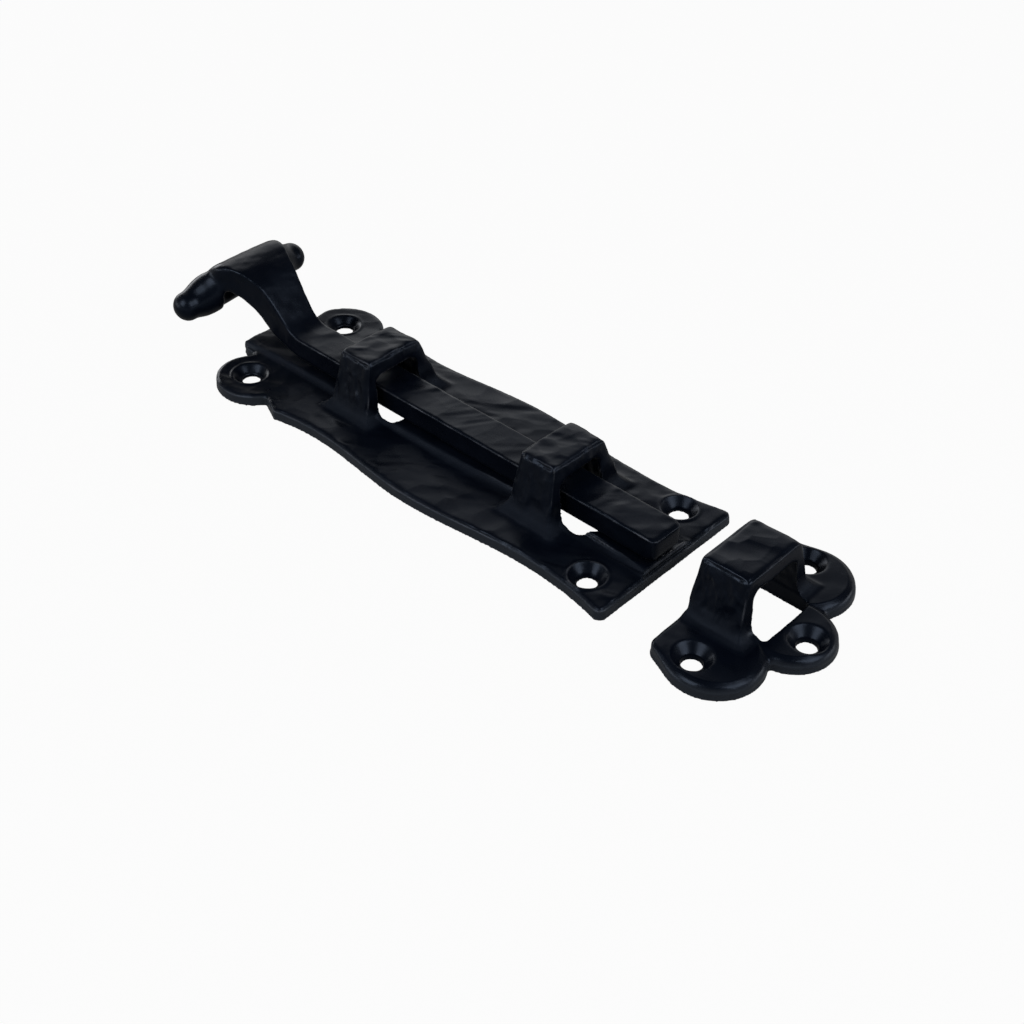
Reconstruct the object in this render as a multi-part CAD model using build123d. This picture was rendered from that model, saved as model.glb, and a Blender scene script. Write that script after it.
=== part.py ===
"""Door bolt: a cast back plate with two bridges, a cranked bolt with a tee handle, and its keeper."""
from build123d import *
from math import acos, atan2, cos, degrees, radians, sin
import os

# Driving dimensions in millimetres. X runs along the bolt towards the keeper, Y across, Z up from the
# door. The origin is the middle of the back plate's four screws, on the face that lies on the door.

# Screws, the same in plate and keeper
screw_hole = 6.2
countersink = 12.2

# Back plate, outline
screw_rows = 154.0
screw_gauge = 43.0
front_margin = 13.4
front_width = 64.0
waist_width = 56.6
middle_width = 63.4
shoulder_width = 61.4
shoulder_behind_bridge = 21.0
lobe_length = 28.0
lobe_width = 25.2
lobe_lead = 1.8
tongue_behind_screws = 17.0
tongue_width = 25.0
tongue_corner = 4.5
corner_radius = 2.5
plate_thickness = 4.5
rim_bevel = 1.0
notch_radius = 1.0

# Back plate, raised strip that the bolt slides on
strip_rise = 1.5
strip_front_width = 21.6
strip_neck_width = 18.4
strip_waist_width = 20.6
strip_edge = 0.7

# Bridges and the windows under them. Left is the +Y side and right the -Y side, as seen from the handle.
# The left legs splay further than the right ones. Tops and feet are measured from the middle plane.
front_bridge_setback = 43.0
bridge_spacing = 80.6
bridge_height = 25.5
bridge_crown = 6.0
bridge_top_length = 14.8
bridge_foot_length = 19.0
bridge_right_top = 11.7
bridge_right_foot = 17.0
bridge_right_corner = 2.4
bridge_left_top = 12.2
bridge_left_foot = 21.0
bridge_left_corner = 4.5
bridge_edge = 1.6
foot_flare = 6.0
foot_sink = 0.3
opening_top_width = 17.0
opening_foot_width = 20.2
opening_corner = 2.5
window_tail_margin = 3.0
front_window_nose = 20.5
front_window_flat = 0.7
rear_window_nose = 15.8
rear_window_corner = 3.6

# Bolt
running_gap = 0.3
bar_width = 13.4
bar_thickness = 8.2
bar_edge = 0.9
tip_corner = 1.4
bar_setback = 1.0
stop_diameter = 6.4
stop_gap = 0.6
stop_above_door = 1.4
crank_behind_bridge = 33.95
crank_angle = 51.0
crank_radius = 10.4
crank_straight = 9.6
shoulder_radius = 22.0
crest_angle = 10.0
curl_radius = 13.0
flare_radius = 57.0
flare_behind_crank = 3.0
flare_corner = 8.0
curl_width = 29.0
tee_inset = 3.3
tee_radius = 6.0
tee_length = 56.8
tee_droop = 4.5
arm_root_inset = 1.5
arm_root_radius = 7.8
arm_tip_radius = 6.1
collar_groove = 0.15
collar_step = 0.8
knob_radius = 5.4
hook_radius = 3.0
hook_angle = 15.0
under_radius = 21.0
neck_angle = 55.0

# Keeper
keeper_gap = 17.0
keeper_thickness = 5.0
keeper_rear_width = 62.0
keeper_rear_corner = 4.0
side_lobe_radius = 15.0
side_lobe_gauge = 43.0
side_lobe_setback = 16.0
front_lobe_radius = 13.6
front_lobe_setback = 26.4
side_screw_gauge = 54.6
side_screw_setback = 12.8
front_screw_setback = 32.0
keeper_bridge_height = 24.5
keeper_left_top = 14.2
keeper_left_foot = 19.6
keeper_left_room = 2.6
keeper_top_length = 16.6
keeper_foot_length = 19.6
keeper_window_nose = 14.2
keeper_window_corner = 2.2

# Stations along X and heights worked out from the sizes above
front_edge = screw_rows / 2 + front_margin
rear_screws = -screw_rows / 2
front_bridge_x = front_edge - front_bridge_setback
rear_bridge_x = front_bridge_x - bridge_spacing
shoulder_x = rear_bridge_x - shoulder_behind_bridge
tongue_end = rear_screws - tongue_behind_screws
strip_top = plate_thickness + strip_rise
bar_bottom = strip_top + running_gap
bar_top = bar_bottom + bar_thickness
opening_top = bridge_height - bridge_crown
tip_x = front_edge - bar_setback
crank_x = rear_bridge_x - crank_behind_bridge
window_tail = bridge_foot_length / 2 + window_tail_margin


def upright(profile, half_length):
    """Extrude a profile drawn in X and Z by the same length to both sides of the middle plane."""
    return extrude(Plane.XZ * profile, amount=half_length, both=True)


def along_bolt(profile, middle, half_length):
    """Extrude a profile drawn in Y and Z by the same length to both sides of a station on X."""
    return Pos(middle, 0, 0) * extrude(Plane.YZ * profile, amount=half_length, both=True)


def standing(profile, height, base=0.0):
    """Extrude a plan drawn in X and Y upwards from a height."""
    return Pos(0, 0, base) * extrude(profile, amount=height)


def mirrored_plan(half_edges):
    """Close a plan from the edges of its +Y half and their mirror image."""
    other_half = [edge.mirror(Plane.XZ) for edge in half_edges]
    return make_face(half_edges + other_half)


def screw_cutter(x, y, surface):
    """Through hole with a 90 degree countersink that opens at the given surface height."""
    depth = (countersink - screw_hole) / 2
    shank = Cylinder(screw_hole / 2, 4 * surface)
    cone = Cone(screw_hole / 2, countersink / 2, depth, align=(Align.CENTER, Align.CENTER, Align.MAX))
    mouth = Cylinder(countersink / 2, surface, align=(Align.CENTER, Align.CENTER, Align.MIN))
    return Pos(x, y, 0) * (shank + Pos(0, 0, surface) * (cone + mouth))


def leg_view(tops, feet, height, thickness, flared_ends):
    """One view of a bridge: four corners from its two tops and two feet, blended into the base by arcs."""
    view = Polygon((feet[0], 0), (feet[1], 0), (tops[1], height), (tops[0], height), align=None)
    root = thickness - foot_sink
    for end in flared_ends:
        root_end = feet[end] + (tops[end] - feet[end]) * root / height
        view += Pos(root_end, root / 2) * Rectangle(2 * foot_flare, root)
        inner_corner = view.vertices().sort_by_distance((root_end, root))[0]
        view = fillet(inner_corner, foot_flare)
    return view


def bridge(middle, height, left_top, left_foot, top_length, foot_length, thickness, flared_ends):
    """Arched strap that stands on splayed legs: the front view and the side view cut from one block."""
    tops = (-bridge_right_top, left_top)
    feet = (-bridge_right_foot, left_foot)
    front_view = leg_view(tops, feet, height, thickness, (0, 1))
    for top, corner in zip(tops, (bridge_right_corner, bridge_left_corner)):
        front_view = fillet(front_view.vertices().sort_by_distance((top, height))[0], corner)
    half_lengths = (top_length / 2, foot_length / 2)
    side_view = leg_view(*((-half, half) for half in half_lengths), height, thickness, flared_ends)
    block = along_bolt(front_view, 0, 2 * foot_length) & upright(side_view, 2 * left_foot)
    crown_edges = [
        edge
        for edge in block.edges()
        if edge.center().Z > height / 2 and abs(edge.center().X) > top_length / 2 - bridge_edge
    ]
    return Pos(middle, 0, 0) * fillet(crown_edges, bridge_edge)


def bridge_core(middle, height, window, left_room=0.0):
    """Space under a bridge: the bolt's opening above, and the window through the plate below it."""
    opening = Polygon(
        (-opening_foot_width / 2, -plate_thickness),
        (opening_foot_width / 2 + left_room, -plate_thickness),
        (opening_top_width / 2 + left_room, height),
        (-opening_top_width / 2, height),
        align=None,
    )
    opening = fillet(opening.vertices().group_by(Axis.Y)[-1], opening_corner)
    reach = front_window_nose + window_tail + keeper_foot_length
    return along_bolt(opening, middle, reach) & standing(window, 2 * height, -plate_thickness)


def window_plan(tail, nose, corner, left_room=0.0):
    """Plan of a window: square tail with small corners, nose with the given corner radius."""
    plan = Pos((tail + nose) / 2, left_room / 2) * Rectangle(nose - tail, opening_foot_width + left_room)
    plan = fillet(plan.vertices().group_by(Axis.X)[-1], corner)
    return fillet(plan.vertices().group_by(Axis.X)[0], window_tail_margin)


def plate_plan():
    """Scalloped outline: wide at the front, the middle and the shoulder, waisted at both bridges."""
    middle_x = (front_bridge_x + rear_bridge_x) / 2
    front_corner = (front_edge, front_width / 2)
    shoulder = (shoulder_x, shoulder_width / 2)
    front_line = Line((front_edge, 0), front_corner)
    side = Spline(
        front_corner,
        (front_bridge_x, waist_width / 2),
        (middle_x, middle_width / 2),
        (rear_bridge_x, waist_width / 2),
        shoulder,
    )
    lobe_x = rear_screws + lobe_lead
    lobe_middle = (lobe_x, screw_gauge / 2)
    shoulder_line = Line(shoulder, lobe_middle)
    rear_line = Line(lobe_middle, (lobe_x, 0))
    body = mirrored_plan([front_line, side, shoulder_line, rear_line])
    body = fillet(body.vertices().group_by(Axis.X)[-1], corner_radius)
    lobes = [
        Pos(lobe_x, side_y) * Ellipse(lobe_length / 2, lobe_width / 2)
        for side_y in (-screw_gauge / 2, screw_gauge / 2)
    ]
    tongue_front = shoulder_x
    tongue = Pos((tongue_end + tongue_front) / 2, 0) * Rectangle(tongue_front - tongue_end, tongue_width)
    tongue = fillet(tongue.vertices().group_by(Axis.X)[0], tongue_corner)
    plan = body + lobes + tongue
    notches = [
        corner for corner in plan.vertices() if tongue_end + tongue_corner < corner.X < shoulder_x - notch_radius
    ]
    return fillet(notches, notch_radius)


def strip_plan():
    """Outline of the raised strip: it swells at both ends and narrows in front of the front bridge."""
    front_end = front_edge - rim_bevel
    rear_end = tongue_end + rim_bevel
    neck_x = (front_bridge_x + front_window_nose + front_edge) / 2
    middle_x = (front_bridge_x + rear_bridge_x) / 2
    rear_half = tongue_width / 2 - rim_bevel
    front_line = Line((front_end, 0), (front_end, strip_front_width / 2))
    side = Spline(
        (front_end, strip_front_width / 2),
        (neck_x, strip_neck_width / 2),
        (middle_x, strip_waist_width / 2),
        (shoulder_x, strip_waist_width / 2),
        (rear_end, rear_half),
    )
    rear_line = Line((rear_end, rear_half), (rear_end, 0))
    return mirrored_plan([front_line, side, rear_line])


def make_back_plate():
    """The whole back plate casting, with its two bridges, two windows and four screw holes."""
    base = standing(plate_plan(), plate_thickness)
    base = chamfer(base.faces().sort_by(Axis.Z)[-1].outer_wire().edges(), rim_bevel)
    strip = standing(strip_plan(), strip_top)
    strip = chamfer(strip.faces().sort_by(Axis.Z)[-1].outer_wire().edges(), strip_edge)
    plate = base + strip
    windows = (
        (front_bridge_x, front_window_nose, opening_foot_width / 2 - front_window_flat),
        (rear_bridge_x, rear_window_nose, rear_window_corner),
    )
    for middle, nose, corner in windows:
        plate += bridge(
            middle,
            bridge_height,
            bridge_left_top,
            bridge_left_foot,
            bridge_top_length,
            bridge_foot_length,
            plate_thickness,
            (0, 1),
        )
        plan = window_plan(middle - window_tail, middle + nose, corner)
        plate -= bridge_core(middle, opening_top, plan)
    for x in (rear_screws, screw_rows / 2):
        for y in (-screw_gauge / 2, screw_gauge / 2):
            plate -= screw_cutter(x, y, plate_thickness)
    return plate


def bolt_side_view():
    """Side view of the bolt: lines and tangent arcs from the tip, over the crank and curl, and back below."""
    top = Line((tip_x, bar_top), (crank_x, bar_top))
    rise = JernArc(top @ 1, (-1, 0), crank_radius, -crank_angle)
    slope = Line(rise @ 1, rise @ 1 + crank_straight * (rise % 1))
    over = JernArc(slope @ 1, slope % 1, shoulder_radius, crank_angle - crest_angle)
    curl = JernArc(over @ 1, over % 1, curl_radius, 90 + crest_angle)
    curl_end = curl @ 1
    hook_start = (curl_end.X + tee_inset + tee_radius, curl_end.Y)
    end = Line(curl_end, hook_start)
    hook = JernArc(hook_start, (0, 1), hook_radius, -90 - hook_angle)
    under = JernArc(hook @ 1, hook % 1, under_radius, hook_angle - neck_angle)
    drop = (under @ 1).Y - bar_bottom
    heel_radius = drop / (1 - cos(radians(neck_angle)))
    heel = JernArc(under @ 1, under % 1, heel_radius, neck_angle)
    bottom = Line(heel @ 1, (tip_x, bar_bottom))
    tip = Line((tip_x, bar_bottom), (tip_x, bar_top))
    view = make_face([top, rise, slope, over, curl, end, hook, under, heel, bottom, tip])
    return view, curl_end


def bolt_plan(curl_end_x):
    """Plan of the bolt: a straight bar that flares in an arc to the width of the curled end."""
    bar_half = bar_width / 2
    curl_half = curl_width / 2
    side = Line((tip_x, bar_half), (crank_x - flare_behind_crank, bar_half))
    flare_angle = degrees(acos(1 - (curl_half - bar_half) / flare_radius))
    flare = JernArc(side @ 1, (-1, 0), flare_radius, -flare_angle)
    rear_x = curl_end_x - tee_radius
    shoulder_line = Line(flare @ 1, (rear_x, curl_half))
    rear_line = Line((rear_x, curl_half), (rear_x, 0))
    tip_line = Line((tip_x, 0), (tip_x, bar_half))
    plan = mirrored_plan([tip_line, side, flare, shoulder_line, rear_line])
    return fillet(plan.vertices().group_by(Axis.X)[1], flare_corner)


def tee_arm():
    """One arm of the tee along Y: a core in the curl, a taper that leans out of it, a collar and a ball end."""
    collar_radius = knob_radius - collar_groove
    root_y = curl_width / 2 - arm_root_inset
    knob_y = tee_length / 2 - knob_radius
    collar_angle = degrees(acos(collar_radius / knob_radius))
    collar_y = knob_y - knob_radius * sin(radians(collar_angle))
    arm_tip_y = collar_y - collar_step
    turned_view = make_face(
        [
            Line((0, 0), (tee_radius, 0)),
            Line((tee_radius, 0), (tee_radius, root_y)),
            Line((tee_radius, root_y), (arm_tip_radius, arm_tip_y)),
            Line((arm_tip_radius, arm_tip_y), (collar_radius, collar_y)),
            CenterArc((0, knob_y), knob_radius, -collar_angle, 90 + collar_angle),
            Line((0, tee_length / 2), (0, 0)),
        ]
    )
    lean = arm_root_radius - tee_radius
    root = Plane((lean, root_y, lean), z_dir=(0, 1, 0)) * Circle(arm_root_radius)
    tip = Plane((0, arm_tip_y, 0), z_dir=(0, 1, 0)) * Circle(arm_tip_radius)
    return revolve(turned_view, Axis.Y) + loft([root, tip])


def make_bolt():
    """The whole bolt casting: bar, crank, curled end, tee handle and the stop under the bar."""
    side_view, curl_end = bolt_side_view()
    strap = upright(side_view, curl_width) & standing(bolt_plan(curl_end.X), 2 * curl_end.Y)
    strap = fillet(strap.edges().filter_by(Axis.Z).group_by(Axis.X)[-1], tip_corner)
    end_edges = strap.faces().filter_by(Plane.XY).sort_by(Axis.X)[0].edges()
    running_edges = [
        edge
        for edge in strap.edges().filter_by(Axis.Z, reverse=True) - end_edges
        if abs(edge.center().Y) > bar_width / 2 - tip_corner
    ]
    strap = fillet(running_edges, bar_edge)
    arm = Rot(-tee_droop, 0, 0) * tee_arm()
    tee = arm + arm.mirror(Plane.XZ)
    tee = Pos(curl_end.X + tee_inset, 0, curl_end.Y) * tee
    stop_x = front_bridge_x - window_tail + stop_gap + stop_diameter / 2
    stop_height = bar_bottom + bar_thickness / 2 - stop_above_door
    stop = Cylinder(stop_diameter / 2, stop_height, align=(Align.CENTER, Align.CENTER, Align.MIN))
    return strap + tee + Pos(stop_x, 0, stop_above_door) * stop


def triangle_angle(side_a, side_b, opposite):
    """Angle in degrees between two sides of a triangle, from the length of the side opposite to it."""
    return degrees(acos((side_a**2 + side_b**2 - opposite**2) / (2 * side_a * side_b)))


def keeper_plan():
    """Three round lobes, one for each screw, on a base with a straight rear edge and rounded corners."""
    lobe = Vector(side_lobe_setback, side_lobe_gauge / 2)
    nose = Vector(front_lobe_setback, 0)
    rear_corner = Vector(0, keeper_rear_width / 2)
    apart = (nose - lobe).length
    nose_bearing = degrees(atan2(nose.Y - lobe.Y, nose.X - lobe.X))
    corner_bearing = degrees(atan2(rear_corner.Y - lobe.Y, rear_corner.X - lobe.X))
    tangent_at_lobe = corner_bearing - degrees(acos(side_lobe_radius / (rear_corner - lobe).length))
    notch_at_lobe = nose_bearing + triangle_angle(side_lobe_radius, apart, front_lobe_radius)
    notch_at_nose = nose_bearing + 180 - triangle_angle(front_lobe_radius, apart, side_lobe_radius)
    lobe_arc = CenterArc(lobe, side_lobe_radius, tangent_at_lobe, notch_at_lobe - tangent_at_lobe)
    nose_arc = CenterArc(nose, front_lobe_radius, notch_at_nose, -notch_at_nose)
    rear_line = Line((0, 0), rear_corner)
    side_line = Line(rear_corner, lobe_arc @ 0)
    plan = mirrored_plan([rear_line, side_line, lobe_arc, nose_arc])
    plan = fillet(plan.vertices().group_by(Axis.X)[0], keeper_rear_corner)
    return fillet(plan.vertices().group_by(Axis.X)[-2], notch_radius)


def make_keeper():
    """The whole keeper casting: lobed base, bridge that takes the bolt, and three screw holes."""
    base = standing(keeper_plan(), keeper_thickness)
    base = chamfer(base.faces().sort_by(Axis.Z)[-1].outer_wire().edges(), rim_bevel)
    bridge_x = keeper_foot_length / 2
    keeper = base + bridge(
        bridge_x,
        keeper_bridge_height,
        keeper_left_top,
        keeper_left_foot,
        keeper_top_length,
        keeper_foot_length,
        keeper_thickness,
        (1,),
    )
    nose = bridge_x + keeper_window_nose
    plan = window_plan(-2 * window_tail_margin, nose, keeper_window_corner, keeper_left_room)
    keeper -= bridge_core(bridge_x, keeper_bridge_height - bridge_crown, plan, keeper_left_room)
    screws = (
        (side_screw_setback, -side_screw_gauge / 2),
        (side_screw_setback, side_screw_gauge / 2),
        (front_screw_setback, 0),
    )
    for x, y in screws:
        keeper -= screw_cutter(x, y, keeper_thickness)
    return Pos(front_edge + keeper_gap, 0, 0) * keeper


os.makedirs("parts", exist_ok=True)
export_step(make_back_plate(), "parts/back_plate.step")
export_step(make_bolt(), "parts/bolt.step")
export_step(make_keeper(), "parts/keeper.step")
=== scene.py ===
"""Black iron door bolt on a pale studio floor: a back plate with two bridges, a bolt and its keeper."""

import math

import bmesh
import bpy
import numpy as np
from mathutils import Euler, Matrix


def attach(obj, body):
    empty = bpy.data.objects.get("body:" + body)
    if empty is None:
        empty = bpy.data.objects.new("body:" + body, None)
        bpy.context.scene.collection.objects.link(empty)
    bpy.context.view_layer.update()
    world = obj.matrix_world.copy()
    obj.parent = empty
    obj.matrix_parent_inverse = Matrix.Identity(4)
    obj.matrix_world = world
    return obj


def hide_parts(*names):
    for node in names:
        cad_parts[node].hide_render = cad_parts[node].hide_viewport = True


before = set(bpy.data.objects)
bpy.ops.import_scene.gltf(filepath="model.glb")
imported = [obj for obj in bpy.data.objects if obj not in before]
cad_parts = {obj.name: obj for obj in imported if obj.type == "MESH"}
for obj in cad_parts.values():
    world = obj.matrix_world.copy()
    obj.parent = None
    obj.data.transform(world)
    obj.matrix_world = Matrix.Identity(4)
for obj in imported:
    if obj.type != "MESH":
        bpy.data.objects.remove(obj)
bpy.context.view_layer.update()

# Back plate
# One iron casting, hammered over before it was painted black: a scalloped plate with two rear lobes, a low
# strip that the bolt slides on, and two bridges. Four countersunk screws would hold it to the door.

MM = 0.001


def even_copy(node, name, cell):
    """A copy of a casting's solid with its skin remade as even cells of the given size, in metres.

    The copy is turned while the cells are laid, so that no long edge runs along their rows and shows steps.
    """
    turn = Euler((0.55, 0.40, 0.85)).to_matrix().to_4x4()
    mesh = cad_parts[node].data.copy()
    skin = bmesh.new()
    skin.from_mesh(mesh)
    bmesh.ops.remove_doubles(skin, verts=skin.verts, dist=1e-6)
    skin.to_mesh(mesh)
    skin.free()
    mesh.transform(turn)
    piece = bpy.data.objects.new(name, mesh)
    bpy.context.scene.collection.objects.link(piece)
    remesh = piece.modifiers.new("even_skin", "REMESH")
    remesh.mode = "VOXEL"
    remesh.voxel_size = cell
    view = bpy.context.evaluated_depsgraph_get()
    even = bpy.data.meshes.new_from_object(piece.evaluated_get(view))
    piece.modifiers.clear()
    even.transform(turn.inverted())
    piece.data = even
    even.name = name
    even.materials.clear()
    even.polygons.foreach_set("use_smooth", np.ones(len(even.polygons), bool))
    return piece


def points_of(piece):
    """Vertex positions in millimetres, as an array of rows."""
    flat = np.empty(len(piece.data.vertices) * 3, np.float32)
    piece.data.vertices.foreach_get("co", flat)
    return flat.reshape(-1, 3).astype(float) / MM


def put_points(piece, points):
    """Write vertex positions in millimetres back to the mesh."""
    piece.data.vertices.foreach_set("co", (points * MM).astype(np.float32).ravel())
    piece.data.update()


def normals_of(piece):
    """Unit vertex normals, as an array of rows."""
    flat = np.empty(len(piece.data.vertices) * 3, np.float32)
    piece.data.vertices.foreach_get("normal", flat)
    return flat.reshape(-1, 3).astype(float)


def neighbour_mean(piece, values):
    """The mean of each vertex's edge neighbours, for one or more columns of values."""
    ends = np.empty(len(piece.data.edges) * 2, np.int32)
    piece.data.edges.foreach_get("vertices", ends)
    first, second = ends[0::2], ends[1::2]
    count = len(piece.data.vertices)
    near = np.bincount(first, minlength=count) + np.bincount(second, minlength=count)
    columns = values.reshape(count, -1)
    total = np.empty_like(columns)
    for column in range(columns.shape[1]):
        total[:, column] = np.bincount(first, columns[second, column], count)
        total[:, column] += np.bincount(second, columns[first, column], count)
    return (total / near[:, None]).reshape(values.shape)


def relaxed(piece, points, rounds):
    """Each round pulls the points half way to their neighbours' mean, then pushes them back nearly as far.

    This evens out the cells' steps and rounds sharp edges, and keeps the size.
    """
    pull, push = 0.5, -0.52
    for step in range(rounds):
        points = points + pull * (neighbour_mean(piece, points) - points)
        points = points + push * (neighbour_mean(piece, points) - points)
    return points


def worn(piece, points, share, rounds):
    """Each round pulls the points half way to their neighbours' mean, times the share.

    Flats stay as they are, and edges and hollows go round.
    """
    pull = 0.5
    for step in range(rounds):
        points = points + pull * share[:, None] * (neighbour_mean(piece, points) - points)
    return points


def lattice(cells, seed):
    """A fixed value from 0 to 1 for each whole-number cell: its numbers times large factors, mixed up."""
    x_factor, y_factor, z_factor = 73856093, 19349663, 83492791
    seed_factor, mix_factor = 2654435761, 1274126177
    low_bits, word_bits = 0xFFFF, 0xFFFFFFFF
    x, y, z = (cells.astype(np.int64) & low_bits).T
    mix = (x * x_factor) ^ (y * y_factor) ^ (z * z_factor) ^ (seed * seed_factor)
    mix = (mix ^ (mix >> 13)) * mix_factor & word_bits
    return ((mix ^ (mix >> 16)) & low_bits) / low_bits


def soft_noise(points, size, seed):
    """Smooth waves from 0 to 1: lattice values a size apart, blended by the curve 3t2 - 2t3."""
    places = points / np.asarray(size, float)
    base = np.floor(places)
    blend = places - base
    blend = blend * blend * (3 - 2 * blend)
    value = np.zeros(len(points))
    for corner in np.ndindex(2, 2, 2):
        side = np.array(corner)
        weight = np.prod(np.where(side, blend, 1 - blend), axis=1)
        value += weight * lattice(base + side, seed)
    return value


def dents(points, size, seed):
    """Marks of hand dressing from 0 to 1: waves of the given size, with some of half that size.

    The points are first shifted by slower waves, so that the marks wander.
    """
    slow, shift, coarse, fine = 2.4, 1.6, 0.68, 0.32
    size = np.asarray(size, float) * np.ones(3)
    drift = np.stack([soft_noise(points, slow * size, seed + axis) for axis in (1, 2, 3)], axis=1) - 0.5
    wander = points + shift * size * drift
    return coarse * soft_noise(wander, size, seed) + fine * soft_noise(wander, 0.5 * size, seed + 4)


def askew(points, degrees):
    """The points turned about Z, so that long marks can run across the casting at an angle."""
    turn = math.radians(degrees)
    x, y, z = points.T
    along = math.cos(turn) * x + math.sin(turn) * y
    across = math.cos(turn) * y - math.sin(turn) * x
    return np.stack([along, across, z], axis=1)


def hammer_bowls(points, size, seed):
    """Hammer blows from 0 at a bowl's middle to 1 at the ridges: squared distance to the nearest blow."""
    ridge, too_far = 0.55, 9.0
    places = points / np.asarray(size, float)
    base = np.floor(places)
    nearest = np.full(len(points), too_far)
    for offset in np.ndindex(3, 3, 3):
        cell = base + np.array(offset) - 1
        blow = cell + np.stack([lattice(cell, seed + axis) for axis in range(3)], axis=1)
        nearest = np.minimum(nearest, ((places - blow) ** 2).sum(axis=1))
    return np.clip(nearest / ridge, 0, 1)


def dented(points, depth, size, seed):
    """How deep the dressing marks cut, in millimetres, up to the given depth."""
    return depth * (1 - dents(points, size, seed))


def bowled(points, depth, size, seed):
    """How deep the hammer's bowls cut, in millimetres, up to the given depth."""
    return depth * (1 - hammer_bowls(points, size, seed))


def patchy(points, least, size, seed):
    """Uneven wear, from the least share to 1, in patches of the given size."""
    return least + (1 - least) * soft_noise(points, size, seed)


def ramp(values, start, end):
    """0 before start and 1 after end, with a smooth rise between them."""
    share = np.clip((values - start) / (end - start), 0, 1)
    return share * share * (3 - 2 * share)


def band(values, start, full, last, end):
    """0 before start, 1 from full to last and 0 after end, with a smooth rise and fall between them."""
    return ramp(values, start, full) * ramp(-values, -end, -last)


def thinned(piece, most):
    """Join the flattest triangles until no more than the given number are left."""
    triangles = sum(len(face.vertices) - 2 for face in piece.data.polygons)
    fewer = piece.modifiers.new("fewer", "DECIMATE")
    fewer.ratio = min(1.0, most / triangles)
    view = bpy.context.evaluated_depsgraph_get()
    mesh = bpy.data.meshes.new_from_object(piece.evaluated_get(view))
    piece.modifiers.clear()
    mesh.name = piece.name
    piece.data = mesh
    mesh.polygons.foreach_set("use_smooth", np.ones(len(mesh.polygons), bool))


def store(piece, name, values):
    """Keep one value for each vertex as a named attribute that the paint can read."""
    layer = piece.data.attributes.new(name, "FLOAT", "POINT")
    layer.data.foreach_set("value", values.astype(np.float32))


def mark_edges(piece, share=1.0):
    """Store how far points stand out of their surroundings: 1 on edges, 0 on flats, times the share."""
    rounds, stand_out = 3, (0.06, 0.15)
    points = points_of(piece)
    around = points
    for step in range(rounds):
        around = neighbour_mean(piece, around)
    stand = ((points - around) * normals_of(piece)).sum(axis=1)
    store(piece, "edge", share * ramp(stand, *stand_out))


plate_cell = 0.42
most_triangles = 190000
plate = even_copy("back_plate", "back_plate_casting", plate_cell * MM)
at = relaxed(plate, points_of(plate), rounds=6)

# Wear before the hammering: a pair is where a treatment starts and is full, in millimetres, with minus signs
# where it fades out; four numbers are a rise and a fall
crown_rise, far_shoulder = (13.0, 18.0), (4.0, 8.0)
on_crown = ramp(at[:, 2], *crown_rise)
at = worn(plate, at, on_crown * patchy(at, least=0.25, size=6.0, seed=2), rounds=34)
at = worn(plate, at, on_crown * ramp(at[:, 1], *far_shoulder), rounds=50)
foot_band, foot_out = (4.6, 5.4, 8.0, 11.0), (11.5, 13.0)
at_feet = band(at[:, 2], *foot_band) * ramp(np.abs(at[:, 1]), *foot_out)
at = worn(plate, at, at_feet, rounds=16)
screw_x, screw_y, screw_seat = 77.0, 21.5, (5.8, 7.6)
to_screw = np.hypot(np.abs(at[:, 0]) - screw_x, np.abs(at[:, 1]) - screw_y)
off_screws = ramp(to_screw, *screw_seat)
strip_line, strip_clear = 10.2, (11.6, 12.6)
off_strip = ramp(np.abs(at[:, 1]), *strip_clear)
strip_band, strip_near = (3.9, 4.5, 6.4, 7.4), (-2.0, -0.8)
strip_edges = ramp(-np.abs(np.abs(at[:, 1]) - strip_line), *strip_near) * band(at[:, 2], *strip_band)
at = worn(plate, at, strip_edges, rounds=14)
rim_band = (1.6, 3.0, 5.2, 6.2)
on_rim = band(at[:, 2], *rim_band) * off_screws * off_strip
at = worn(plate, at, on_rim * patchy(at, least=0.4, size=9.0, seed=5), rounds=22)
seat_reach, rear_half, seat_rise = (-8.4, -6.4), (0.0, 1.0), (1.4, 2.4)
rear_seats = ramp(-to_screw, *seat_reach) * ramp(-at[:, 0], *rear_half) * ramp(at[:, 2], *seat_rise)
at = worn(plate, at, rear_seats, rounds=26)
put_points(plate, at)

# Hammering: each face gets its own marks, cut straight into it; the tilts are parts of the facing direction
upward_tilt, side_tilt = (0.35, 0.8), (0.5, 0.85)
off_door, bridge_rise = (0.5, 1.8), (6.0, 10.5)
facing = normals_of(plate)
upward = ramp(facing[:, 2], *upward_tilt)
sideways = ramp(np.abs(facing[:, 1]), *side_tilt)
endways = ramp(np.abs(facing[:, 0]), *side_tilt)
above = ramp(at[:, 2], *off_door)
on_bridge = ramp(at[:, 2], *bridge_rise)
flat_marks = dented(askew(at, degrees=25.0), depth=0.62, size=(11.0, 4.6, 9.0), seed=3)
flat_marks += bowled(at, depth=0.28, size=9.0, seed=11)
crown_marks = dented(askew(at, degrees=40.0), depth=0.64, size=(9.0, 3.4, 8.0), seed=21)
crown_marks += bowled(at, depth=0.34, size=6.5, seed=29)
leg_marks = dented(at, depth=1.0, size=(2.2, 3.4, 5.0), seed=41)
leg_marks += bowled(at, depth=0.24, size=(4.0, 5.0, 5.0), seed=45)
end_share = 0.6
flats = upward * (1 - on_bridge) * flat_marks * off_screws
crowns = upward * on_bridge * crown_marks
legs = (sideways + end_share * endways) * on_bridge * leg_marks
rims = (sideways + endways) * (1 - on_bridge) * dented(at, depth=0.30, size=6.0, seed=8)
lobe_x, lobe_reach, dish = -75.2, 12.0, 0.6
to_lobe = np.hypot(at[:, 0] - lobe_x, np.abs(at[:, 1]) - screw_y) / lobe_reach
dished = upward * dish * np.clip(1 - to_lobe**2, 0, 1)
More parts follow.
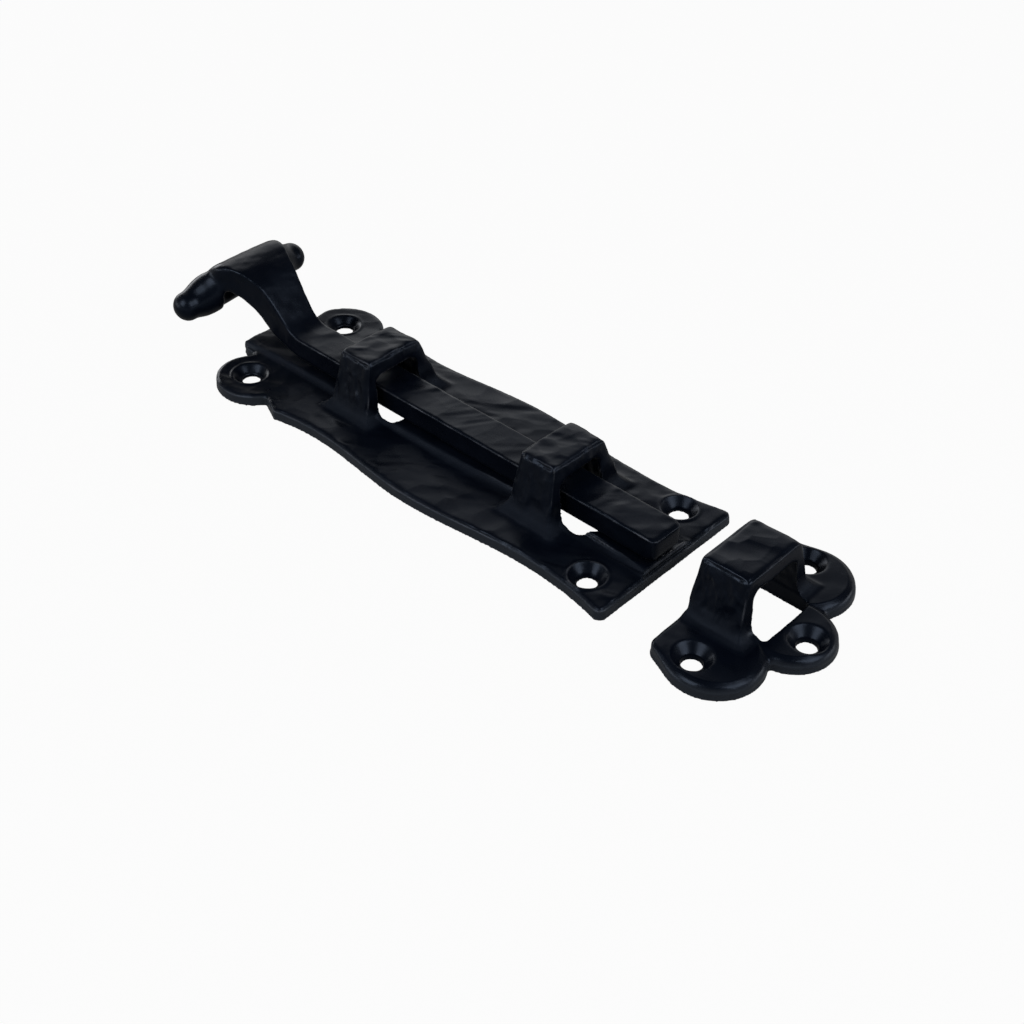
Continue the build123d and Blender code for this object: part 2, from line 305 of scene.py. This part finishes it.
sink_along, sink_across, sink = (64.0, 88.0), (-11.0, -10.4), 0.7
in_strip = ramp(-np.abs(at[:, 1]), *sink_across)
sunk = upward * sink * ramp(at[:, 0], *sink_along) * in_strip
foot_rise, foot_depth = (4.8, 5.6), 0.40
feet = (1 - upward) * (1 - on_bridge) * foot_depth * ramp(at[:, 2], *foot_rise)
depth = above * (flats + crowns + legs + rims + feet + dished + sunk)
at = at - depth[:, None] * facing
at = relaxed(plate, at, rounds=1)
at[:, 2] = np.maximum(at[:, 2], 0)
put_points(plate, at)

# Places that the paint treats in its own way: painted highlights on outer edges, painted reflection of the
# floor on rims, and dull hollows
strip_glint_cut = 0.7
# This edge mark drives a painted highlight on outer edges, weaker along the strip's edges.
mark_edges(plate, 1 - strip_glint_cut * strip_edges)
# The rim mask picks the low outer side walls, which the paint makes paler as a painted reflection of the
# floor.
rim_across, rim_along, rim_middle, rim_top = (19.0, 22.0), (84.0, 87.0), 1.5, (-5.6, -4.2)
outer = ramp(np.abs(at[:, 1]), *rim_across) + ramp(np.abs(at[:, 0] - rim_middle), *rim_along)
store(plate, "rim", np.clip(outer, 0, 1) * off_screws * (1 - upward) * ramp(-at[:, 2], *rim_top))
store(plate, "hollow", np.maximum(at_feet, strip_edges))
thinned(plate, most_triangles)


def named_socket(group, name, kind, side, default=None):
    """Add one named input or output to a node group."""
    socket = group.interface.new_socket(name, in_out=side, socket_type=kind)
    if default is not None:
        socket.default_value = default


def make_cast_skin():
    """Node group for painted castings: bump from grain and pits, and slow changes of tone and gloss."""
    group = bpy.data.node_groups.new("cast_skin", "ShaderNodeTree")
    named_socket(group, "Grain Size", "NodeSocketFloat", "INPUT", 900.0)
    named_socket(group, "Height", "NodeSocketFloat", "OUTPUT")
    named_socket(group, "Mottle", "NodeSocketFloat", "OUTPUT")
    nodes, links = group.nodes, group.links
    start = nodes.new("NodeGroupInput")
    end = nodes.new("NodeGroupOutput")
    place = nodes.new("ShaderNodeTexCoord")
    grain = nodes.new("ShaderNodeTexNoise")
    grain.inputs["Detail"].default_value = 2.0
    grain.inputs["Roughness"].default_value = 0.5
    links.new(place.outputs["Object"], grain.inputs["Vector"])
    links.new(start.outputs["Grain Size"], grain.inputs["Scale"])
    pits = nodes.new("ShaderNodeTexVoronoi")
    pits.inputs["Scale"].default_value = 240.0
    links.new(place.outputs["Object"], pits.inputs["Vector"])
    pit_depth = nodes.new("ShaderNodeMapRange")
    pit_depth.inputs["From Min"].default_value = 0.05
    pit_depth.inputs["From Max"].default_value = 0.22
    links.new(pits.outputs["Distance"], pit_depth.inputs["Value"])
    pit_share = 0.35
    together = nodes.new("ShaderNodeMath")
    together.operation = "MULTIPLY_ADD"
    together.inputs[1].default_value = pit_share
    links.new(pit_depth.outputs["Result"], together.inputs[0])
    links.new(grain.outputs["Fac"], together.inputs[2])
    links.new(together.outputs["Value"], end.inputs["Height"])
    mottle = nodes.new("ShaderNodeTexNoise")
    mottle.inputs["Scale"].default_value = 85.0
    mottle.inputs["Detail"].default_value = 5.0
    links.new(place.outputs["Object"], mottle.inputs["Vector"])
    links.new(mottle.outputs["Fac"], end.inputs["Mottle"])
    return group


def make_edge_highlight():
    """Node group for a painted highlight on outer edges: 1 there, broken up by noise, from the mesh's edge
    attribute.
    """
    group = bpy.data.node_groups.new("edge_highlight", "ShaderNodeTree")
    named_socket(group, "Amount", "NodeSocketFloat", "INPUT", 0.6)
    named_socket(group, "Mask", "NodeSocketFloat", "OUTPUT")
    nodes, links = group.nodes, group.links
    start = nodes.new("NodeGroupInput")
    end = nodes.new("NodeGroupOutput")
    edge = nodes.new("ShaderNodeAttribute")
    edge.attribute_name = "edge"
    place = nodes.new("ShaderNodeTexCoord")
    patches = nodes.new("ShaderNodeTexNoise")
    patches.inputs["Scale"].default_value = 180.0
    patches.inputs["Detail"].default_value = 3.0
    links.new(place.outputs["Object"], patches.inputs["Vector"])
    broken = nodes.new("ShaderNodeMapRange")
    broken.inputs["From Min"].default_value = 0.35
    broken.inputs["From Max"].default_value = 0.68
    links.new(patches.outputs["Fac"], broken.inputs["Value"])
    glint_mask = nodes.new("ShaderNodeMath")
    glint_mask.operation = "MULTIPLY"
    links.new(edge.outputs["Fac"], glint_mask.inputs[0])
    links.new(broken.outputs["Result"], glint_mask.inputs[1])
    scaled = nodes.new("ShaderNodeMath")
    scaled.operation = "MULTIPLY"
    links.new(glint_mask.outputs["Value"], scaled.inputs[0])
    links.new(start.outputs["Amount"], scaled.inputs[1])
    links.new(scaled.outputs["Value"], end.inputs["Mask"])
    return group


cast_skin = make_cast_skin()
edge_highlight = make_edge_highlight()


def black_paint(name, grain_size, bump, smooth, rough, edge_glint):
    """Satin black paint on iron: grain as bump, gloss that changes with the mottle and is dull in hollows.

    Low rims are painted paler as a painted reflection of the floor, and outer edges get a painted highlight.
    """
    material = bpy.data.materials.new(name)
    material.use_nodes = True
    nodes, links = material.node_tree.nodes, material.node_tree.links
    paint = nodes["Principled BSDF"]
    paint.inputs["Specular IOR Level"].default_value = 0.155
    paint.inputs["Specular Tint"].default_value = (0.60, 0.74, 1.0, 1.0)
    skin = nodes.new("ShaderNodeGroup")
    skin.node_tree = cast_skin
    skin.inputs["Grain Size"].default_value = grain_size
    edges = nodes.new("ShaderNodeGroup")
    edges.node_tree = edge_highlight
    edges.inputs["Amount"].default_value = edge_glint
    tone = nodes.new("ShaderNodeValToRGB")
    tone.color_ramp.elements[0].position = 0.30
    tone.color_ramp.elements[0].color = (0.0004, 0.0010, 0.0028, 1)
    tone.color_ramp.elements[1].position = 0.72
    tone.color_ramp.elements[1].color = (0.0012, 0.0021, 0.0048, 1)
    links.new(skin.outputs["Mottle"], tone.inputs["Fac"])
    # Painted reflection of the floor: the low rims are mixed toward a paler grey.
    rim = nodes.new("ShaderNodeAttribute")
    rim.attribute_name = "rim"
    rim_reflection = nodes.new("ShaderNodeMix")
    rim_reflection.data_type = "RGBA"
    rim_reflection.inputs["B"].default_value = (0.0135, 0.0160, 0.0205, 1)
    links.new(rim.outputs["Fac"], rim_reflection.inputs["Factor"])
    links.new(tone.outputs["Color"], rim_reflection.inputs["A"])
    # Painted highlight: outer edges are mixed toward a pale blue-grey.
    glinted = nodes.new("ShaderNodeMix")
    glinted.data_type = "RGBA"
    glinted.inputs["B"].default_value = (0.085, 0.090, 0.105, 1)
    links.new(edges.outputs["Mask"], glinted.inputs["Factor"])
    links.new(rim_reflection.outputs["Result"], glinted.inputs["A"])
    links.new(glinted.outputs["Result"], paint.inputs["Base Color"])
    gloss = nodes.new("ShaderNodeMapRange")
    gloss.inputs["From Min"].default_value = 0.30
    gloss.inputs["From Max"].default_value = 0.70
    gloss.inputs["To Min"].default_value = smooth
    gloss.inputs["To Max"].default_value = rough
    links.new(skin.outputs["Mottle"], gloss.inputs["Value"])
    hollow = nodes.new("ShaderNodeAttribute")
    hollow.attribute_name = "hollow"
    added_roughness = 0.34
    dull = nodes.new("ShaderNodeMath")
    dull.operation = "MULTIPLY_ADD"
    dull.inputs[1].default_value = added_roughness
    links.new(hollow.outputs["Fac"], dull.inputs[0])
    links.new(gloss.outputs["Result"], dull.inputs[2])
    links.new(dull.outputs["Value"], paint.inputs["Roughness"])
    relief = nodes.new("ShaderNodeBump")
    relief.inputs["Strength"].default_value = bump
    relief.inputs["Distance"].default_value = 0.12 * MM
    links.new(skin.outputs["Height"], relief.inputs["Height"])
    links.new(relief.outputs["Normal"], paint.inputs["Normal"])
    return material


plate_paint = black_paint("plate_paint", grain_size=900.0, bump=0.16, smooth=0.25, rough=0.38, edge_glint=0.5)
plate.data.materials.append(plate_paint)
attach(plate, "fixed_castings")
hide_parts("back_plate")

# Bolt
# One iron casting, hammered and painted like the plate: a flat bar, a crank and a strap that flares and
# curls over into a tee handle with ball ends. It slides through both bridges, and a lug below stops it.

bolt_cell = 0.38
bolt = even_copy("bolt", "bolt_casting", bolt_cell * MM)
at = relaxed(bolt, points_of(bolt), rounds=4)
handle_back = (93.0, 99.0)
on_handle = ramp(-at[:, 0], *handle_back)
root_y, root_reach, neck_y, neck_reach = 14.2, 3.2, 21.0, 2.2
outward = np.abs(at[:, 1])
at_root = np.exp(-(((outward - root_y) / root_reach) ** 2))
at_neck = np.exp(-(((outward - neck_y) / neck_reach) ** 2))
at = worn(bolt, at, np.maximum(at_root, at_neck) * on_handle, rounds=120)
tip_along = (86.0, 88.4)
at = worn(bolt, at, ramp(at[:, 0], *tip_along), rounds=40)
put_points(bolt, at)

bar_tilt, bar_along, arm_out = (0.3, 0.8), (-79.0, -67.0), (13.5, 16.5)
facing = normals_of(bolt)
upward = ramp(facing[:, 2], *bar_tilt)
sideways = ramp(np.abs(facing[:, 1]), *side_tilt)
on_bar = ramp(at[:, 0], *bar_along)
on_arms = ramp(np.abs(at[:, 1]), *arm_out)
bar_marks = dented(askew(at, degrees=55.0), depth=0.52, size=(11.0, 4.4, 7.0), seed=17)
bar_marks += bowled(at, depth=0.14, size=8.0, seed=23)
ripple_depth, ripple_size = 0.12, 2.6
ripples = ripple_depth * (1 - soft_noise(at, ripple_size, seed=37))
strap_marks = dented(at, depth=0.42, size=(4.0, 9.0, 4.0), seed=31) + ripples
arm_marks = dented(at, depth=0.16, size=6.0, seed=33)
side_marks = dented(at, depth=0.24, size=(6.0, 5.0, 3.5), seed=43)
depth = on_bar * (upward * bar_marks + sideways * side_marks)
depth += (1 - on_bar) * ((1 - on_arms) * strap_marks + on_arms * arm_marks)
put_points(bolt, relaxed(bolt, at - depth[:, None] * facing, rounds=1))
# The bolt's edge mark drives its painted edge highlight.
mark_edges(bolt)
thinned(bolt, most_triangles)
bolt_paint = black_paint("bolt_paint", grain_size=900.0, bump=0.16, smooth=0.23, rough=0.35, edge_glint=0.9)
bolt.data.materials.append(bolt_paint)
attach(bolt, "bolt")
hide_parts("bolt")

# Keeper
# One iron casting for the door frame, painted like the rest: a base with three lobes, each with a
# countersunk hole, and a bridge that the bar's tip runs into. Its lobes are smoother than its bridge.

keeper_cell = 0.34
keeper = even_copy("keeper", "keeper_casting", keeper_cell * MM)
at = relaxed(keeper, points_of(keeper), rounds=6)
lobe_band, lobe_wear = (2.6, 3.6, 5.5, 6.5), 0.2
on_crown = ramp(at[:, 2], *crown_rise) * patchy(at, least=0.25, size=6.0, seed=51)
at = worn(keeper, at, on_crown + lobe_wear * band(at[:, 2], *lobe_band), rounds=34)
keeper_foot_band = (5.1, 5.8, 8.0, 11.0)
at_feet = band(at[:, 2], *keeper_foot_band) * ramp(np.abs(at[:, 1]), *foot_out)
at = worn(keeper, at, at_feet, rounds=16)

# A bevel round the lobes: how far each point lies inside the base's outline gives how far its top drops
keeper_x, keeper_half, base_length, outside = 107.4, 31.0, 16.0, -9.0
lobes = ((16.0, 21.5, 15.0), (16.0, -21.5, 15.0), (26.4, 0.0, 13.6))
inside = np.where(at[:, 0] < keeper_x + base_length, keeper_half - np.abs(at[:, 1]), outside)
for lobe_setback, lobe_y, lobe_radius in lobes:
    to_lobe = np.hypot(at[:, 0] - keeper_x - lobe_setback, at[:, 1] - lobe_y)
    inside = np.maximum(inside, lobe_radius - to_lobe)
bevel, bevel_slope = 2.6, 0.5
bevel_along, bevel_band = (keeper_x + 4.0, keeper_x + 12.0), (1.0, 4.0, 5.6, 7.0)
drop = bevel_slope * np.clip(bevel - inside, 0, bevel) * ramp(at[:, 0], *bevel_along)
at[:, 2] -= drop * band(at[:, 2], *bevel_band)
put_points(keeper, at)

facing = normals_of(keeper)
upward = ramp(facing[:, 2], *upward_tilt)
sideways = ramp(np.abs(facing[:, 1]), *side_tilt)
above = ramp(at[:, 2], *off_door)
on_bridge = ramp(at[:, 2], *bridge_rise)
crown_marks = dented(askew(at, degrees=20.0), depth=0.62, size=(9.0, 6.0, 8.0), seed=53)
crown_marks += bowled(at, depth=0.36, size=7.5, seed=59)
leg_marks = dented(at, depth=0.95, size=(2.4, 3.6, 5.0), seed=61)
leg_marks += bowled(at, depth=0.24, size=(4.5, 5.0, 5.0), seed=67)
root_rise = (5.2, 6.4)
lobe_marks = dented(at, depth=0.34, size=7.0, seed=71)
root_marks = ramp(at[:, 2], *root_rise) * dented(at, depth=0.7, size=4.0, seed=73)
depth = (1 - on_bridge) * (lobe_marks + root_marks)
depth = above * (depth + on_bridge * (upward * crown_marks + sideways * leg_marks))
at = relaxed(keeper, at - depth[:, None] * facing, rounds=1)
at[:, 2] = np.maximum(at[:, 2], 0)
put_points(keeper, at)
# The keeper's edge mark drives its painted edge highlight.
mark_edges(keeper)
# The keeper's low rims get the same painted reflection of the floor.
rim_inside = (-1.6, -0.6)
store(keeper, "rim", ramp(-inside, *rim_inside) * (1 - upward) * ramp(-at[:, 2], *rim_top))
store(keeper, "hollow", at_feet)
thinned(keeper, most_triangles)
keeper_paint = black_paint("keeper_paint", grain_size=900.0, bump=0.14, smooth=0.22, rough=0.34, edge_glint=0.4)
keeper.data.materials.append(keeper_paint)
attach(keeper, "fixed_castings")
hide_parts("keeper")

# Floor and light
# A wide pale floor that shows white to the camera and keeps a faint shadow. A softbox and a low strip light
# stand on each side of the camera, and one light behind the handle, in a dim room with a wide soft window.


def pale_floor():
    """A square floor just below the castings."""
    half, low = 4.0, -0.2 * MM
    white_to_camera, white_in_gloss = 0.96, 0.05
    corners = [(-half, -half, low), (half, -half, low), (half, half, low), (-half, half, low)]
    mesh = bpy.data.meshes.new("floor")
    mesh.from_pydata(corners, [], [(0, 1, 2, 3)])
    floor = bpy.data.objects.new("floor", mesh)
    bpy.context.scene.collection.objects.link(floor)
    material = bpy.data.materials.new("floor_paper")
    material.use_nodes = True
    nodes, links = material.node_tree.nodes, material.node_tree.links
    paper = nodes["Principled BSDF"]
    paper.inputs["Base Color"].default_value = (0.24, 0.24, 0.24, 1)
    paper.inputs["Roughness"].default_value = 0.9
    paper.inputs["Specular IOR Level"].default_value = 0.0
    white = nodes.new("ShaderNodeEmission")
    white.inputs["Strength"].default_value = 1.0
    path = nodes.new("ShaderNodeLightPath")
    in_gloss = nodes.new("ShaderNodeMath")
    in_gloss.operation = "MAXIMUM"
    links.new(path.outputs["Is Glossy Ray"], in_gloss.inputs[0])
    links.new(path.outputs["Is Transmission Ray"], in_gloss.inputs[1])
    gloss_share = nodes.new("ShaderNodeMath")
    gloss_share.operation = "MULTIPLY"
    gloss_share.inputs[1].default_value = white_in_gloss
    links.new(in_gloss.outputs["Value"], gloss_share.inputs[0])
    share = nodes.new("ShaderNodeMath")
    share.operation = "MULTIPLY_ADD"
    share.inputs[1].default_value = white_to_camera
    links.new(path.outputs["Is Camera Ray"], share.inputs[0])
    links.new(gloss_share.outputs["Value"], share.inputs[2])
    mix = nodes.new("ShaderNodeMixShader")
    links.new(share.outputs["Value"], mix.inputs["Fac"])
    links.new(paper.outputs["BSDF"], mix.inputs[1])
    links.new(white.outputs["Emission"], mix.inputs[2])
    links.new(mix.outputs["Shader"], nodes["Material Output"].inputs["Surface"])
    mesh.materials.append(material)


def softbox(name, azimuth, elevation, width, height, power):
    """An oblong area lamp on a sphere round the object, turned to its middle."""
    away = 0.85
    turn, lift = math.radians(azimuth), math.radians(elevation)
    towards = np.array([math.cos(lift) * math.cos(turn), math.cos(lift) * math.sin(turn), math.sin(lift)])
    lamp = bpy.data.lights.new(name, "AREA")
    lamp.shape = "RECTANGLE"
    lamp.size = width
    lamp.size_y = height
    lamp.energy = power
    holder = bpy.data.objects.new(name, lamp)
    right = np.array([-math.sin(turn), math.cos(turn), 0.0])
    up = np.cross(towards, right)
    turned = Matrix((right, up, towards)).transposed().to_4x4()
    holder.matrix_world = Matrix.Translation(towards * away) @ turned
    bpy.context.scene.collection.objects.link(holder)


def sky_ramp(nodes, stops):
    """A colour ramp in greys from pairs of place and level."""
    shade = nodes.new("ShaderNodeValToRGB")
    elements = shade.color_ramp.elements
    for place, level in stops[1:-1]:
        elements.new(place).color = (level, level, level, 1)
    for element, (place, level) in ((elements[0], stops[0]), (elements[-1], stops[-1])):
        element.position = place
        element.color = (level, level, level, 1)
    return shade


def studio_sky(window_azimuth, window_elevation):
    """World light: a dim room, a bright band at the horizon and one wide soft window.

    The camera itself sees white.
    """
    world = bpy.data.worlds.new("studio")
    world.use_nodes = True
    nodes, links = world.node_tree.nodes, world.node_tree.links
    place = nodes.new("ShaderNodeTexCoord")
    parts = nodes.new("ShaderNodeSeparateXYZ")
    links.new(place.outputs["Generated"], parts.inputs["Vector"])
    by_height = sky_ramp(nodes, ((0.0, 0.72), (0.10, 0.60), (0.28, 0.10), (0.78, 0.10), (1.0, 0.08)))
    links.new(parts.outputs["Z"], by_height.inputs["Fac"])
    turn, lift = math.radians(window_azimuth), math.radians(window_elevation)
    towards = nodes.new("ShaderNodeVectorMath")
    towards.operation = "DOT_PRODUCT"
    towards.inputs[1].default_value = (
        math.cos(lift) * math.cos(turn),
        math.cos(lift) * math.sin(turn),
        math.sin(lift),
    )
    links.new(place.outputs["Generated"], towards.inputs[0])
    window_fade = ((0.55, 0.0), (0.80, 0.12), (0.866, 0.25), (0.934, 0.68), (0.966, 0.88), (0.985, 1.0))
    window = sky_ramp(nodes, window_fade)
    links.new(towards.outputs["Value"], window.inputs["Fac"])
    lighter = nodes.new("ShaderNodeMix")
    lighter.data_type = "RGBA"
    lighter.blend_type = "LIGHTEN"
    lighter.inputs["Factor"].default_value = 1.0
    links.new(by_height.outputs["Color"], lighter.inputs["A"])
    links.new(window.outputs["Color"], lighter.inputs["B"])
    links.new(lighter.outputs["Result"], nodes["Background"].inputs["Color"])
    nodes["Background"].inputs["Strength"].default_value = 1.25
    backdrop = nodes.new("ShaderNodeBackground")
    backdrop.inputs["Color"].default_value = (0.97, 0.97, 0.97, 1)
    path = nodes.new("ShaderNodeLightPath")
    mix = nodes.new("ShaderNodeMixShader")
    links.new(path.outputs["Is Camera Ray"], mix.inputs["Fac"])
    links.new(nodes["Background"].outputs["Background"], mix.inputs[1])
    links.new(backdrop.outputs["Background"], mix.inputs[2])
    links.new(mix.outputs["Shader"], nodes["World Output"].inputs["Surface"])
    bpy.context.scene.world = world


pale_floor()
camera_azimuth, box_turn, strip_turn, back_turn = -46.7, 54.0, 86.0, -141.0
studio_sky(window_azimuth=camera_azimuth + 180.0, window_elevation=18.0)
for side, name in ((1, "right"), (-1, "left")):
    box_azimuth = camera_azimuth + box_turn * side
    strip_azimuth = camera_azimuth + strip_turn * side
    softbox("softbox_" + name, box_azimuth, elevation=42.0, width=0.50, height=0.50, power=4.2)
    softbox("low_strip_" + name, strip_azimuth, elevation=9.0, width=0.50, height=0.14, power=0.8)
softbox("back_light", camera_azimuth + back_turn, elevation=12.0, width=0.40, height=0.28, power=1.1)

# Camera
# A still camera with everything in focus. Its place, turn and lens were fitted to the plate's edges and
# screw holes in the photograph; right, up and back are its directions, and stand its place in metres.

lens = bpy.data.cameras.new("camera")
lens.sensor_width = 36.0
lens.lens = 53.68
lens.clip_start = 0.01
camera = bpy.data.objects.new("camera", lens)
right = (0.7278, 0.6858, 0.0)
up = (-0.4325, 0.4590, 0.7761)
back = (0.5322, -0.5648, 0.6307)
stand = (0.28955, -0.27907, 0.29864)
camera.matrix_world = Matrix.Translation(stand) @ Matrix((right, up, back)).transposed().to_4x4()
bpy.context.scene.collection.objects.link(camera)
bpy.context.scene.camera = camera
bpy.context.scene.view_settings.view_transform = "Standard"
